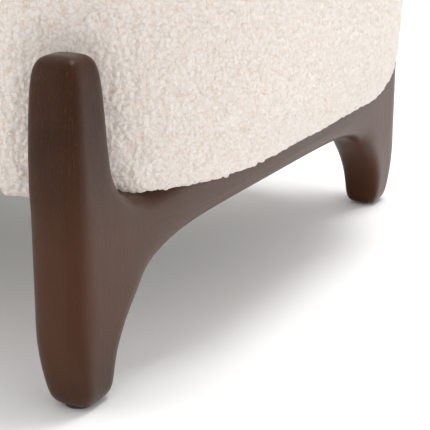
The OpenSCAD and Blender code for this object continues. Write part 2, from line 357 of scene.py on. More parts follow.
@dataclass
class NodeSheet:
    """A node tree with short ways to add and join nodes."""

    tree: bpy.types.NodeTree

    def add(self, kind: str, **values: object) -> bpy.types.Node:
        """Add a node.

        Args:
            kind: The node's class name.
            values: Its properties by name.

        Returns:
            The new node.
        """
        node = self.tree.nodes.new(kind)
        for name, value in values.items():
            setattr(node, name, value)
        return node

    def join(self, source: bpy.types.NodeSocket, target: bpy.types.NodeSocket) -> None:
        """Link one socket to another."""
        self.tree.links.new(source, target)

    def feed(self, target: bpy.types.NodeSocket, value: object) -> None:
        """Give a socket a link or a plain value.

        Args:
            target: The socket that takes it.
            value: A socket or a value.
        """
        if isinstance(value, bpy.types.NodeSocket):
            self.join(value, target)
        else:
            target.default_value = value

    def math(self, operation: str, a: object, b: object = 0.0) -> bpy.types.NodeSocket:
        """Add a Math node and return its output.

        Args:
            operation: What to work out.
            a: First value or socket.
            b: Second value or socket.

        Returns:
            The result.
        """
        node = self.add("ShaderNodeMath", operation=operation)
        for socket, value in zip(node.inputs, (a, b)):
            self.feed(socket, value)
        return node.outputs[0]

    def mix(self, factor: object, a: object, b: object) -> bpy.types.NodeSocket:
        """Mix two colours and return the result.

        Args:
            factor: Share of the second colour.
            a: First colour.
            b: Second colour.

        Returns:
            The mixed colour.
        """
        node = self.add("ShaderNodeMix", data_type="RGBA")
        self.feed(node.inputs[0], factor)
        self.feed(node.inputs[6], a)
        self.feed(node.inputs[7], b)
        return node.outputs[2]

    def remap(
        self, value: object, low: float, high: float, to_low: float = 0.0, to_high: float = 1.0
    ) -> bpy.types.NodeSocket:
        """Map a range of values to another, held at its ends.

        Args:
            value: The value to map.
            low: Start of its range.
            high: End of its range.
            to_low: What the start becomes.
            to_high: What the end becomes.

        Returns:
            The mapped value.
        """
        node = self.add("ShaderNodeMapRange", clamp=True)
        for socket, v in zip(node.inputs, (value, low, high, to_low, to_high)):
            self.feed(socket, v)
        return node.outputs[0]

    def noise(
        self, vector: object, scale: float, detail: float = 2.0, rough: float = 0.5
    ) -> bpy.types.NodeSocket:
        """Add a Noise texture and return its value.

        Args:
            vector: The coordinates.
            scale: Swells in a metre.
            detail: How many finer layers.
            rough: Strength of the finer layers.

        Returns:
            The noise's value.
        """
        node = self.add("ShaderNodeTexNoise")
        self.feed(node.inputs["Vector"], vector)
        preset(node, {"Scale": scale, "Detail": detail, "Roughness": rough})
        return node.outputs[0]

    def cells(self, feature: str, vector: object, scale: float) -> bpy.types.NodeSocket:
        """Add a Voronoi texture and return its distance.

        Args:
            feature: Which of its distances.
            vector: The coordinates.
            scale: Cells in a metre.

        Returns:
            The distance.
        """
        node = self.add("ShaderNodeTexVoronoi", feature=feature)
        self.feed(node.inputs["Vector"], vector)
        preset(node, {"Scale": scale})
        return node.outputs[0]

    def vary_roughness(self, shader: bpy.types.Node, pattern: object, low: float, high: float) -> None:
        """Let a pattern move a shader's roughness between two values."""
        self.join(self.remap(pattern, 0.3, 0.7, low, high), shader.inputs["Roughness"])

    def stretch(self, vector: object, scale: tuple, turn: tuple = (0.0, 0.0, 0.0)) -> bpy.types.NodeSocket:
        """Scale and turn a vector with a Mapping node.

        Args:
            vector: The coordinates.
            scale: Factor along each axis.
            turn: Turn about each axis.

        Returns:
            The new coordinates.
        """
        node = self.add("ShaderNodeMapping")
        self.feed(node.inputs["Vector"], vector)
        preset(node, {"Scale": scale, "Rotation": turn})
        return node.outputs[0]

    def object_coords(self) -> bpy.types.NodeSocket:
        """Return the object coordinates."""
        return self.add("ShaderNodeTexCoord").outputs["Object"]

    def bump(self, height: object, strength: float, distance: float) -> bpy.types.NodeSocket:
        """Add a Bump node and return its normal.

        Args:
            height: The height pattern.
            strength: How strong, from 0 to 1.
            distance: Depth in metres.

        Returns:
            The normal.
        """
        node = self.add("ShaderNodeBump")
        preset(node, {"Strength": strength, "Distance": distance})
        self.feed(node.inputs["Height"], height)
        return node.outputs[0]


def new_group(
    name: str, inputs: Iterable[tuple], outputs: Iterable[tuple]
) -> tuple[NodeSheet, bpy.types.Node, bpy.types.Node]:
    """Start a shader node group.

    Args:
        name: The group's name.
        inputs: Name, socket type and default of each input.
        outputs: Name and socket type of each output.

    Returns:
        A sheet to add nodes to the group, its input node and its output node.
    """
    tree = bpy.data.node_groups.new(name, "ShaderNodeTree")
    for label, kind, default in inputs:
        socket = tree.interface.new_socket(label, in_out="INPUT", socket_type=kind)
        if default is not None:
            socket.default_value = default
    for label, kind in outputs:
        tree.interface.new_socket(label, in_out="OUTPUT", socket_type=kind)
    sheet = NodeSheet(tree)
    return sheet, sheet.add("NodeGroupInput"), sheet.add("NodeGroupOutput")


class Effect(Enum):
    """The shared effects, by the name of their node group."""

    GRAIN = "wood_grain"
    MOTTLE = "soft_mottle"
    CLOTH = "woven_cloth"


def build_grain() -> None:
    """Build the grain effect: figure, fine streaks and pores along the vector's Z."""
    s, src, out = new_group(
        Effect.GRAIN.value,
        [("Vector", "NodeSocketVector", None), ("Density", "NodeSocketFloat", 1.0)],
        [("Figure", "NodeSocketFloat"), ("Streak", "NodeSocketFloat"), ("Pore", "NodeSocketFloat")],
    )
    scaled = s.add("ShaderNodeVectorMath", operation="SCALE")
    s.join(src.outputs["Vector"], scaled.inputs[0])
    s.join(src.outputs["Density"], scaled.inputs["Scale"])
    vector = scaled.outputs[0]
    bend = s.noise(s.stretch(vector, (6.0, 6.0, 2.0)), 1.0, 2.0)
    warp = s.add("ShaderNodeVectorMath", operation="MULTIPLY_ADD")
    s.join(bend, warp.inputs[0])
    warp.inputs[1].default_value = (0.05, 0.05, 0.0)
    s.join(vector, warp.inputs[2])
    figure = s.noise(s.stretch(warp.outputs[0], (42.0, 42.0, 3.4)), 1.0, 3.0, 0.55)
    streak = s.noise(s.stretch(warp.outputs[0], (420.0, 420.0, 11.0)), 1.0, 3.0, 0.6)
    pore = s.noise(s.stretch(warp.outputs[0], (1100.0, 1100.0, 170.0)), 1.0, 1.0, 0.5)
    s.join(figure, out.inputs["Figure"])
    s.join(streak, out.inputs["Streak"])
    s.join(s.remap(pore, 0.60, 0.72), out.inputs["Pore"])


def build_mottle() -> None:
    """Build the mottle effect: slow, cloudy variation without direction."""
    s, src, out = new_group(
        Effect.MOTTLE.value,
        [("Vector", "NodeSocketVector", None), ("Size", "NodeSocketFloat", 20.0)],
        [("Mottle", "NodeSocketFloat")],
    )
    node = s.add("ShaderNodeTexNoise")
    s.join(src.outputs["Vector"], node.inputs["Vector"])
    s.join(src.outputs["Size"], node.inputs["Scale"])
    preset(node, {"Detail": 4.0})
    s.join(s.remap(node.outputs[0], 0.32, 0.68), out.inputs["Mottle"])


def build_cloth() -> None:
    """Build the cloth effect: a plain weave's ribs in two directions."""
    s, src, out = new_group(
        Effect.CLOTH.value,
        [("Vector", "NodeSocketVector", None), ("Threads", "NodeSocketFloat", 900.0)],
        [("Weave", "NodeSocketFloat")],
    )
    scaled = s.add("ShaderNodeVectorMath", operation="SCALE")
    s.join(src.outputs["Vector"], scaled.inputs[0])
    s.join(src.outputs["Threads"], scaled.inputs["Scale"])
    parts = s.add("ShaderNodeSeparateXYZ")
    s.join(scaled.outputs[0], parts.inputs[0])
    ribs = [s.math("SINE", parts.outputs[k]) for k in range(3)]
    flat = s.math("ABSOLUTE", s.math("MULTIPLY", ribs[0], ribs[1]))
    s.join(s.math("ADD", flat, s.math("MULTIPLY", ribs[2], 0.5)), out.inputs["Weave"])


def use_effect(sheet: NodeSheet, effect: Effect, vector: object, **values: float) -> bpy.types.Node:
    """Place a shared effect in a material.

    Args:
        sheet: The material's node sheet.
        effect: Which effect.
        vector: The coordinates it reads.
        values: Its other inputs by name.

    Returns:
        The group node.
    """
    node = sheet.add("ShaderNodeGroup")
    node.node_tree = bpy.data.node_groups[effect.value]
    sheet.feed(node.inputs["Vector"], vector)
    preset(node, values)
    return node


def new_material(name: str) -> tuple[bpy.types.Material, NodeSheet, bpy.types.Node]:
    """Start a material with one Principled shader.

    Args:
        name: The material's name.

    Returns:
        The material, its node sheet and the shader.
    """
    mat = bpy.data.materials.new(name)
    mat.use_nodes = True
    sheet = NodeSheet(mat.node_tree)
    shader = next(n for n in mat.node_tree.nodes if n.type == "BSDF_PRINCIPLED")
    return mat, sheet, shader


def rgb(r: float, g: float, b: float) -> tuple[float, float, float, float]:
    """Return an opaque colour."""
    return (r, g, b, 1.0)


# ---- Finishes ----


class Grain(Enum):
    """Which way a piece of wood's grain runs, as the turn that brings it to Z."""

    UPRIGHT = (0.0, 0.0, 0.0)
    FRONT_TO_BACK = (math.pi / 2, 0.0, 0.0)
    SIDE_TO_SIDE = (0.0, math.pi / 2, 0.0)


@dataclass(frozen=True)
class Finish:
    """A finish that is built once as a material."""

    name: str

    def build(self) -> bpy.types.Material:
        """Build the material.

        Returns:
            The finished material.
        """
        mat, s, shader = new_material(self.name)
        self.paint(s, shader, s.object_coords())
        return mat

    def paint(self, s: NodeSheet, shader: bpy.types.Node, coords: bpy.types.NodeSocket) -> None:
        """Add the finish's nodes, which each kind of finish does its own way.

        Args:
            s: The material's node sheet.
            shader: Its shader.
            coords: Object coordinates.
        """
        raise NotImplementedError


@dataclass(frozen=True)
class WoodFinish(Finish):
    """Oiled or stained wood with figure, streaks, pores and a soft sheen."""

    dark: tuple
    mid: tuple
    light: tuple
    pore: tuple
    grain: Grain
    roughness: float = 0.42
    coat: float = 0.12
    density: float = 1.0
    ior: float = 1.45
    fleck: float = 0.55
    streak: float = 0.5
    # Painted light: a paler, warmer colour low down that stands in for the shade the upholstery casts on the
    # wood above it; its share, the heights where it fades out, and how much is left at the foot
    painted_light_low: float = 0.0
    painted_light_span: tuple = (0.165, 0.255)
    painted_light_foot_height: float = 0.08
    painted_light_foot_share: float = 0.3
    painted_light_colour: tuple = (0.092, 0.036, 0.0165, 1.0)
    # How far a face turns away before its clear coat starts and ends to show
    coat_span: tuple = (0.10, 0.95)

    def paint(self, s: NodeSheet, shader: bpy.types.Node, coords: bpy.types.NodeSocket) -> None:
        """Add the finish's nodes.

        Args:
            s: The material's node sheet.
            shader: Its shader.
            coords: Object coordinates.
        """
        vector = s.stretch(coords, (1.0, 1.0, 1.0), self.grain.value)
        grain = use_effect(s, Effect.GRAIN, vector, Density=self.density)
        mottle = use_effect(s, Effect.MOTTLE, vector, Size=26.0)
        broad = s.remap(grain.outputs["Figure"], 0.34, 0.66, 0.0, 1.0)
        body = s.mix(broad, self.dark, self.mid)
        body = s.mix(s.math("MULTIPLY", mottle.outputs["Mottle"], 0.55), body, self.light)
        fine = s.remap(grain.outputs["Streak"], 0.38, 0.64, 0.0, self.streak)
        body = s.mix(fine, body, self.dark)
        body = s.mix(s.math("MULTIPLY", grain.outputs["Pore"], self.fleck), body, self.pore)
        # Painted light: the lower wood is mixed towards a paler, warmer colour, fading out towards the
        # upholstery's shade above and partly at the foot
        if self.painted_light_low > 0:
            parts = s.add("ShaderNodeSeparateXYZ")
            s.join(coords, parts.inputs[0])
            z = parts.outputs[2]
            painted_light = s.remap(z, *self.painted_light_span, self.painted_light_low, 0.0)
            painted_light = s.math("MULTIPLY", painted_light, s.remap(z, 0.0, self.painted_light_foot_height, self.painted_light_foot_share))
            body = s.mix(painted_light, body, self.painted_light_colour)
        s.join(body, shader.inputs["Base Color"])
        s.vary_roughness(shader, grain.outputs["Streak"], self.roughness - 0.05, self.roughness + 0.08)
        height = s.math("SUBTRACT", s.math("MULTIPLY", grain.outputs["Streak"], 0.5), grain.outputs["Pore"])
        s.join(s.bump(height, 0.22, 0.00025), shader.inputs["Normal"])
        if self.coat > 0:
            facing = s.add("ShaderNodeLayerWeight").outputs["Facing"]
            s.join(s.remap(facing, *self.coat_span, 0.02, self.coat), shader.inputs["Coat Weight"])
        preset(shader, {"IOR": self.ior, "Coat Roughness": 0.34})


@dataclass(frozen=True)
class BoucleFinish(Finish):
    """Looped ivory pile: pale tuft tops, painted warm shade in the creases and a curly nap."""

    top: tuple
    crease_shade_and_tone: tuple
    # Curls and loops in a metre, and how far the loops' outlines waver
    curl: float = 520.0
    loop: float = 170.0
    waver: float = 0.008

    def paint(self, s: NodeSheet, shader: bpy.types.Node, coords: bpy.types.NodeSocket) -> None:
        """Add the finish's nodes.

        Args:
            s: The material's node sheet.
            shader: Its shader.
            coords: Object coordinates.
        """
        tuft = s.add("ShaderNodeAttribute", attribute_name="tuft").outputs["Fac"]
        tone = s.add("ShaderNodeAttribute", attribute_name="tone").outputs["Fac"]
        curls = s.cells("SMOOTH_F1", coords, self.curl)
        fuzz = s.noise(coords, 1900.0, 3.0, 0.65)
        shift = s.add("ShaderNodeTexNoise")
        s.join(coords, shift.inputs["Vector"])
        preset(shift, {"Scale": self.loop * 0.7})
        bent = s.add("ShaderNodeVectorMath", operation="MULTIPLY_ADD")
        s.join(shift.outputs["Color"], bent.inputs[0])
        bent.inputs[1].default_value = (self.waver,) * 3
        s.join(coords, bent.inputs[2])
        edge = s.remap(s.cells("DISTANCE_TO_EDGE", bent.outputs[0], self.loop), 0.0, 0.13)
        # Painted shade: the creases between tufts and the loops' outlines are mixed towards a darker, warmer
        # colour, which also varies the tone at random
        level = s.math("SUBTRACT", tuft, s.math("MULTIPLY", curls, 0.10))
        colour = s.mix(s.remap(level, 0.0, 0.46, 0.15, 1.0), self.crease_shade_and_tone, self.top)
        colour = s.mix(s.remap(edge, 0.0, 1.0, 0.34, 0.0), colour, self.crease_shade_and_tone)
        colour = s.mix(s.remap(tone, 0.0, 1.0, 0.0, 0.10), colour, self.crease_shade_and_tone)
        colour = s.mix(s.remap(fuzz, 0.35, 0.7, 0.0, 0.10), colour, self.crease_shade_and_tone)
        s.join(colour, shader.inputs["Base Color"])
        height = s.math("ADD", s.math("MULTIPLY", curls, -0.7), s.math("MULTIPLY", fuzz, 0.7))
        height = s.math("ADD", height, s.math("MULTIPLY", s.math("SQRT", edge), 1.2))
        s.join(s.bump(height, 0.4, 0.0012), shader.inputs["Normal"])
        preset(shader, {"Roughness": 0.95, "Specular IOR Level": 0.15})
        preset(shader, {"Sheen Weight": 0.22, "Sheen Roughness": 0.6})


@dataclass(frozen=True)
class ClothFinish(Finish):
    """Plain woven or felted cloth."""

    colour: tuple
    shade: tuple
    threads: float = 2600.0

    def paint(self, s: NodeSheet, shader: bpy.types.Node, coords: bpy.types.NodeSocket) -> None:
        """Add the finish's nodes.

        Args:
            s: The material's node sheet.
            shader: Its shader.
            coords: Object coordinates.
        """
        weave = use_effect(s, Effect.CLOTH, coords, Threads=self.threads).outputs["Weave"]
        cloudy = use_effect(s, Effect.MOTTLE, coords, Size=45.0).outputs["Mottle"]
        colour = s.mix(s.remap(weave, 0.0, 1.2, 0.0, 0.7), self.shade, self.colour)
        colour = s.mix(s.math("MULTIPLY", cloudy, 0.2), colour, self.shade)
        s.join(colour, shader.inputs["Base Color"])
        s.join(s.bump(weave, 0.5, 0.0006), shader.inputs["Normal"])
        preset(shader, {"Roughness": 0.9, "Specular IOR Level": 0.2})


@dataclass(frozen=True)
class MetalFinish(Finish):
    """Drawn or plated metal with fine scratches."""

    colour: tuple
    worn: tuple
    roughness: float = 0.35

    def paint(self, s: NodeSheet, shader: bpy.types.Node, coords: bpy.types.NodeSocket) -> None:
        """Add the finish's nodes.

        Args:
            s: The material's node sheet.
            shader: Its shader.
            coords: Object coordinates.
        """
        cloudy = use_effect(s, Effect.MOTTLE, coords, Size=120.0).outputs["Mottle"]
        scratch = s.noise(s.stretch(coords, (900.0, 120.0, 900.0)), 1.0, 2.0)
        s.join(s.mix(s.math("MULTIPLY", cloudy, 0.5), self.colour, self.worn), shader.inputs["Base Color"])
        s.vary_roughness(shader, scratch, self.roughness - 0.08, self.roughness + 0.12)
        s.join(s.bump(scratch, 0.1, 0.0001), shader.inputs["Normal"])
        preset(shader, {"Metallic": 1.0})


@dataclass(frozen=True)
class PlasticFinish(Finish):
    """Moulded matte plastic with a fine spark-eroded texture."""

    colour: tuple
    roughness: float = 0.55

    def paint(self, s: NodeSheet, shader: bpy.types.Node, coords: bpy.types.NodeSocket) -> None:
        """Add the finish's nodes.

        Args:
            s: The material's node sheet.
            shader: Its shader.
            coords: Object coordinates.
        """
        stipple = s.noise(coords, 2200.0, 2.0)
        cloudy = use_effect(s, Effect.MOTTLE, coords, Size=80.0).outputs["Mottle"]
        lifted = tuple(min(1.0, 1.5 * c) for c in self.colour[:3]) + (1.0,)
        s.join(s.mix(s.math("MULTIPLY", cloudy, 0.6), self.colour, lifted), shader.inputs["Base Color"])
        s.vary_roughness(shader, stipple, self.roughness - 0.08, self.roughness + 0.1)
        s.join(s.bump(stipple, 0.2, 0.0001), shader.inputs["Normal"])


class Finishes:
    """Every finish on the sofa, built once."""

    def __init__(self) -> None:
        """Build the shared effects and all materials."""
        build_grain()
        build_mottle()
        build_cloth()
        walnut = dict(
            dark=rgb(0.027, 0.0090, 0.0036), mid=rgb(0.042, 0.0145, 0.0058), light=rgb(0.060, 0.0225, 0.0092),
            pore=rgb(0.118, 0.045, 0.0165), coat=0.50, ior=1.2, fleck=0.34, streak=0.4, roughness=0.37,
            # painted light on the lower legs and rails, below the upholstery's shade
            painted_light_low=0.5,
        )
        pine = dict(
            dark=rgb(0.42, 0.26, 0.13), mid=rgb(0.58, 0.40, 0.22), light=rgb(0.70, 0.52, 0.32),
            pore=rgb(0.30, 0.17, 0.08), roughness=0.62, coat=0.0, density=0.6,
        )
        self.leg = WoodFinish("walnut_leg", grain=Grain.UPRIGHT, **walnut).build()
        self.rail = WoodFinish("walnut_rail", grain=Grain.FRONT_TO_BACK, **walnut).build()
        self.pine_long = WoodFinish("pine_front_to_back", grain=Grain.FRONT_TO_BACK, **pine).build()
        self.pine_wide = WoodFinish("pine_side_to_side", grain=Grain.SIDE_TO_SIDE, **pine).build()
        self.pine_tall = WoodFinish("pine_upright", grain=Grain.UPRIGHT, **pine).build()
        ply = dict(
            dark=rgb(0.52, 0.36, 0.20), mid=rgb(0.64, 0.47, 0.28), light=rgb(0.72, 0.56, 0.36),
            pore=rgb(0.40, 0.26, 0.14), roughness=0.55, coat=0.0,
        )
        self.ply = WoodFinish("birch_ply", grain=Grain.FRONT_TO_BACK, density=0.8, **ply).build()
        self.beech = WoodFinish("beech_dowel", grain=Grain.FRONT_TO_BACK, **ply).build()
        # The second colour is painted shade for the creases, also used for random tone
        self.boucle = BoucleFinish("ivory_boucle", rgb(0.872, 0.832, 0.790), rgb(0.74, 0.50, 0.35)).build()
        self.tape = ClothFinish("zip_tape", rgb(0.78, 0.72, 0.63), rgb(0.52, 0.46, 0.38)).build()
        self.felt = ClothFinish("deck_felt", rgb(0.74, 0.71, 0.65), rgb(0.55, 0.52, 0.46), 1400.0).build()
        self.dust = ClothFinish("dust_cloth", rgb(0.66, 0.65, 0.62), rgb(0.50, 0.49, 0.46), 1800.0).build()
        self.zinc = MetalFinish("zinc_plate", rgb(0.62, 0.63, 0.62), rgb(0.48, 0.47, 0.42)).build()
        self.brass = MetalFinish("brass", rgb(0.72, 0.52, 0.22), rgb(0.50, 0.34, 0.14), 0.32).build()
        self.spring = MetalFinish("spring_wire", rgb(0.22, 0.22, 0.23), rgb(0.12, 0.10, 0.09), 0.4).build()
        self.zip_metal = MetalFinish("zip_slider", rgb(0.66, 0.66, 0.66), rgb(0.50, 0.49, 0.47), 0.28).build()
        self.nylon = PlasticFinish("dark_nylon", rgb(0.035, 0.028, 0.024)).build()


def dress(obj: bpy.types.Object, mat: bpy.types.Material) -> None:
    """Give a whole object one material.

    Args:
        obj: The object.
        mat: Its material.
    """
    obj.data.materials.clear()
    obj.data.materials.append(mat)


def finish_piece(
    obj: bpy.types.Object, mat: bpy.types.Material, body: str = BASE, nodes: Sequence[str] = ()
) -> None:
    """Dress a piece, tie it to its body and hide the CAD nodes that it stands for.

    Args:
        obj: The piece.
        mat: Its material.
        body: The body that it moves with.
        nodes: The CAD nodes that it replaces.
    """
    dress(obj, mat)
    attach(obj, body)
    if nodes:
        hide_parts(*nodes)
    report(obj)


# ---- Wooden side frames ----


@dataclass
class SideFrame:
    """One carved side frame: a front leg, a rail and a rear leg, shaped as one and cut at the glue joints."""

    half_w: float = 0.0302
    front: float = 0.0380
    joint: float = 0.100
    hub_low: float = 0.117
    hub_high: float = 0.195
    hub_cuts: tuple = (-0.006, 0.027)
    smooth_levels: int = 3
    crease_angle: float = 50.0
    # Shares of a leg's depth where its cage is divided
    shares: tuple = (0.0, 0.34, 0.66, 1.0)
    # Saddle where the leg meets the rail: depth, the stretch along the frame, the flat and the slope
    # across it, and the heights where it starts, is full and ends
    saddle: float = 0.008
    saddle_span: tuple = (0.030, 0.060, 0.095, 0.170)
    saddle_across: tuple = (0.006, 0.022)
    saddle_low: float = 0.160
    saddle_rise: float = 0.030
    saddle_high: float = 0.215
    # Rows of height, front and rear limit and half width of the leg below the hub
    below: tuple = (
        (0.104, -0.0390, 0.0830, 0.0306),
        (0.086, -0.0385, 0.0620, 0.0304),
        (0.066, -0.0365, 0.0450, 0.0296),
        (0.045, -0.0325, 0.0345, 0.0280),
        (0.025, -0.0275, 0.0318, 0.0260),
        (0.0105, -0.0230, 0.0312, 0.0237),
        (0.0025, -0.0156, 0.0248, 0.0175),
        (0.0012, -0.0058, 0.0138, 0.0083),
    )
    # The same above the hub
    above: tuple = (
        (0.2015, -0.0380, 0.0540, 0.0302),
        (0.213, -0.0380, 0.0375, 0.0302),
        (0.232, -0.0377, 0.0280, 0.0300),
        (0.268, -0.0370, 0.0246, 0.0292),
        (0.300, -0.0355, 0.0226, 0.0276),
        (0.324, -0.0334, 0.0205, 0.0257),
        (0.3390, -0.0290, 0.0158, 0.0225),
        (0.3445, -0.0182, 0.0050, 0.0142),
    )
    # Rows of distance from the leg centre, underside and top of the rail
    along: tuple = (
        (0.140, 0.1275, 0.195),
        (0.185, 0.1330, 0.195),
        (0.250, 0.1350, 0.195),
    )

    def __post_init__(self) -> None:
        """Read where the frames stand."""
        low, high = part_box("front_leg_right")
        self.x = (low.x + high.x) / 2
        self.y0 = low.y + LEG_FACE
        self.y1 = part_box("rear_leg_right")[1].y - LEG_FACE

    def _select(self, bm: bmesh.types.BMesh, test: Callable[[bmesh.types.BMFace], bool]) -> None:
        """Select only the faces that pass a test.

        Args:
            bm: The mesh in edit mode.
            test: Which faces to take.
        """
        for face in bm.faces:
            face.select_set(False)
        for face in [face for face in bm.faces if test(face)]:
            face.select_set(True)
        bm.select_flush_mode()

    def _extrude(self, obj: bpy.types.Object, place: Callable[[Vector], Vector]) -> None:
        """Extrude the selected faces and put their points in new places.

        Args:
            obj: The mesh object, in edit mode.
            place: Gives a point's new place.
        """
        bpy.ops.mesh.extrude_region_move(
            MESH_OT_extrude_region={}, TRANSFORM_OT_translate={"value": (0, 0, 0)}
        )
        bm = bmesh.from_edit_mesh(obj.data)
        for vert in bm.verts:
            if vert.select:
                vert.co = place(vert.co)
        bmesh.update_edit_mesh(obj.data)

    def _cage(self) -> bpy.types.Object:
        """Model one leg with its half of the rail as a coarse cage.

        Returns:
            The cage, open where the two halves of the frame meet.
        """
        length = self.front + self.joint
        centre = Vector((0, self.joint - length / 2, (self.hub_low + self.hub_high) / 2))
        size = (2 * self.half_w, length, self.hub_high - self.hub_low)
        obj = make_block("side_frame_cage", centre, size)
        bpy.ops.object.mode_set(mode="EDIT")
        for point, normal in (
            ((0, 0, 0), (1, 0, 0)),
            ((0, self.hub_cuts[0], 0), (0, 1, 0)),
            ((0, self.hub_cuts[1], 0), (0, 1, 0)),
            ((0, 0, centre.z), (0, 0, 1)),
        ):
            bpy.ops.mesh.select_all(action="SELECT")
            bpy.ops.mesh.bisect(plane_co=point, plane_no=normal)
        hub_rows = [-self.front, *self.hub_cuts, self.joint]

        def stack(sign: float, rows: tuple) -> None:
            """Extrude the hub's lower or upper side through the rows.

            Args:
                sign: -1 for the lower side, 1 for the upper.
                rows: The rows, from the hub outwards.
            """
            bm = bmesh.from_edit_mesh(obj.data)
            edge = self.hub_low if sign < 0 else self.hub_high
            self._select(
                bm, lambda f: f.normal.z * sign > 0.9 and abs(f.calc_center_median().z - edge) < 1e-4
            )
            bmesh.update_edit_mesh(obj.data)
            old = hub_rows
            old_half = self.half_w
            for z, front, rear, half in rows:
                new = [front + (rear - front) * t for t in self.shares]
                before, wide = list(old), old_half
                self._extrude(
                    obj, lambda p: Vector((p.x * half / wide, float(np.interp(p.y, before, new)), z))
                )
                old, old_half = new, half

        stack(-1.0, self.below)
        stack(1.0, self.above)
        bm = bmesh.from_edit_mesh(obj.data)
        self._select(bm, lambda f: f.normal.y > 0.9 and abs(f.calc_center_median().y - self.joint) < 1e-4)
        bmesh.update_edit_mesh(obj.data)
        low, high = self.hub_low, self.hub_high
        middle = (self.y1 - self.y0) / 2
        for y, under, top in (*self.along, (middle, self.along[-1][1], self.along[-1][2])):
            span = (low, high)
            self._extrude(obj, lambda p: Vector((p.x, y, float(np.interp(p.z, span, (under, top))))))
            low, high = under, top
        bpy.ops.mesh.delete(type="FACE")
        bpy.ops.object.mode_set(mode="OBJECT")
        return obj

    def build(self) -> dict[str, bpy.types.Object]:
        """Build both side frames.

        Returns:
            The six wooden pieces by node name.
        """
        whole = self._cage()
        middle = (self.y1 - self.y0) / 2
        whole.data.transform(Matrix.Translation((0, -middle, 0)))
        add_modifier(whole, "MIRROR", use_axis=(False, True, False), use_clip=True, merge_threshold=0.0005)
        whole.data.transform(Matrix.Translation((self.x, self.y0 + middle, 0)))
        add_modifier(whole, "SUBSURF", levels=self.smooth_levels, render_levels=self.smooth_levels)
        self._hollow_saddle(whole)
        made: dict[str, bpy.types.Object] = {}
        cuts = (self.y0 + self.joint, self.y1 - self.joint)
        stretches = (("front_leg", None, cuts[0]), ("side_rail", *cuts), ("rear_leg", cuts[1], None))
        for part, near, far in stretches:
            piece = copy_mesh(whole, f"{part}_right_carved")
            self._cut(piece, near, far)
            shade_smooth(piece)
            activate(piece)
            bpy.ops.object.shade_smooth_by_angle(angle=math.radians(self.crease_angle))
            made[f"{part}_right"] = piece
            made[f"{part}_left"] = mirror_copy(piece, f"{part}_left_carved")
        bpy.data.objects.remove(whole)
        return made

    def _hollow_saddle(self, whole: bpy.types.Object) -> None:
        """Ease the outer edges of the rail's top down where it runs into each leg.

        Args:
            whole: The whole frame.
        """
        p = get_points(whole)
        along = np.minimum(p[:, 1] - self.y0, self.y1 - p[:, 1])
        here = np.interp(along, self.saddle_span, (0.0, 1.0, 1.0, 0.0))
        flat, slope = self.saddle_across
        across = np.clip((np.abs(p[:, 0] - self.x) - flat) / slope, 0, 1)
        top = np.clip((p[:, 2] - self.saddle_low) / self.saddle_rise, 0, 1) * (p[:, 2] < self.saddle_high)
        p[:, 2] -= self.saddle * here * across * top
        set_points(whole, p)

    def _cut(self, piece: bpy.types.Object, near: float | None, far: float | None) -> None:
        """Keep only the stretch between two planes across the frame, closing the cuts.

        Args:
            piece: The piece to cut.
            near: The front plane, if any.
            far: The rear plane, if any.
        """
        activate(piece)
        bpy.ops.object.mode_set(mode="EDIT")
        for y, outer in ((near, False), (far, True)):
            if y is None:
                continue
            bpy.ops.mesh.select_all(action="SELECT")
            bpy.ops.mesh.bisect(
                plane_co=(0, y, 0), plane_no=(0, 1, 0), use_fill=True,
                clear_outer=outer, clear_inner=not outer,
            )
        bpy.ops.mesh.select_all(action="DESELECT")
        bpy.ops.object.mode_set(mode="OBJECT")

    def dress(self, made: dict[str, bpy.types.Object], finishes: Finishes) -> None:
        """Give each wooden piece its finish and body.

        Args:
            made: The pieces by node name.
            finishes: The finishes.
        """
        for node, piece in made.items():
            mat = finishes.rail if "rail" in node else finishes.leg
            finish_piece(piece, mat, nodes=[node])


# ---- Upholstery ----


@dataclass
class Pile:
    """The looped pile that covers every upholstered piece."""

    tuft: float = 0.0068
    height: float = 0.0029
    curl: float = 0.0036
    curl_height: float = 0.0005
    # How far the tufts' outlines stray, and the sizes of the stray
    warp: float = 0.0040
    warp_sizes: tuple = (0.013, 0.005)
    # How far the whole pile sits into the padding, and its slow swell
    sink: float = 0.0011
    swell: float = 0.0008
    lean: float = 0.0009

    def grow(self, obj: bpy.types.Object) -> None:
        """Raise the tufts on a mesh and store their pattern for the finish.

        Args:
            obj: The padded piece.
        """
        points = get_points(obj)
        normals = get_normals(obj)
        broad, fine = self.warp_sizes
        bent = points + drift(points, broad, 3) * self.warp + drift(points, fine, 5) * self.warp * 0.4
        near, second, tone = lumps(bent, self.tuft, 11)
        ridge = np.clip((second - near) * 2.2, 0, 1) ** 0.55
        crown = np.clip(1.0 - near**2, 0, 1)
        tuft = 0.6 * ridge + 0.4 * crown
        small, next_small, _ = lumps(bent + 0.4, self.curl, 23)
        curl = np.clip((next_small - small) * 2.0, 0, 1) ** 0.7
        swell = drift(points, 0.05, 31)[:, 0]
        rise = tuft * self.height * (0.72 + 0.56 * tone) + curl * self.curl_height + swell * self.swell
        rise -= self.sink
        sideways = drift(points, 0.008, 41) * self.lean
        set_points(obj, points + normals * rise[:, None] + sideways)
        # The finish paints shade into the low parts of this pattern
        set_attribute(obj, "tuft", np.clip(tuft * 0.8 + curl * 0.2, 0, 1))
        set_attribute(obj, "tone", tone)
        shade_smooth(obj)


def even_mesh(obj: bpy.types.Object, step: float, smooth: int = 0) -> None:
    """Rebuild a closed mesh with faces of an even size.

    Args:
        obj: The mesh object.
        step: Size of a face in metres.
        smooth: How many smoothing passes follow.
    """
    activate(obj)
    obj.data.remesh_voxel_size = step
    obj.data.remesh_voxel_adaptivity = 0.0
    bpy.ops.object.voxel_remesh()
    if smooth:
        add_modifier(obj, "SMOOTH", factor=0.5, iterations=smooth)


